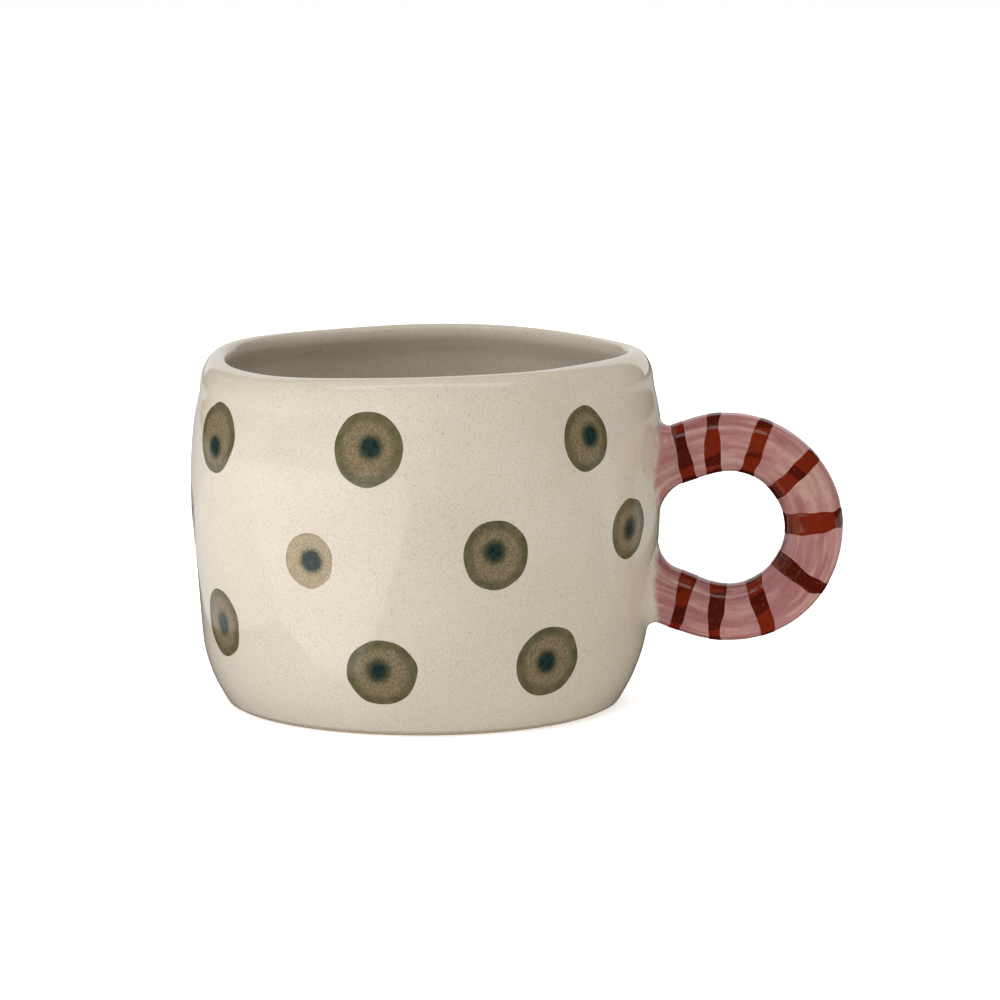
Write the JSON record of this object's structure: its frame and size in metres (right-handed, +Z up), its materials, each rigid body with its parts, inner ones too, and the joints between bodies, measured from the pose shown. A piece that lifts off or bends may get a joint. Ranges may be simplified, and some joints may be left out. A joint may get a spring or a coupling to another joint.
{
  "type": "mug",
  "caption": "Hand-formed stoneware mug with a ring handle, painted eye dots and banded handle, glazed all over but the foot.",
  "frame": {"origin": "centre of the foot, on the surface that the mug stands on", "axes": "+Z up through the mouth; +X from the cup's axis to the middle of the ring handle"},
  "size_m": [0.1316, 0.0942, 0.0721],
  "materials": {
    "stoneware": "matt, bare, speckled",
    "glazed_slip": "gloss",
    "cream_glaze": "gloss, speckled",
    "pink_glaze": "gloss, brushed",
    "olive_glaze": "gloss, brushed",
    "teal_glaze": "gloss",
    "iron_red_slip": "gloss, brushed"
  },
  "bodies": {
    "root": {"clay_cup": "stoneware", "clay_handle": "stoneware", "upper_slip_joint": "glazed_slip", "lower_slip_joint": "glazed_slip", "cup_glaze": "cream_glaze", "handle_glaze": "pink_glaze", "dot_rings": "olive_glaze", "dot_centres": "teal_glaze", "handle_bands": "iron_red_slip"}
  },
  "joints": []
}
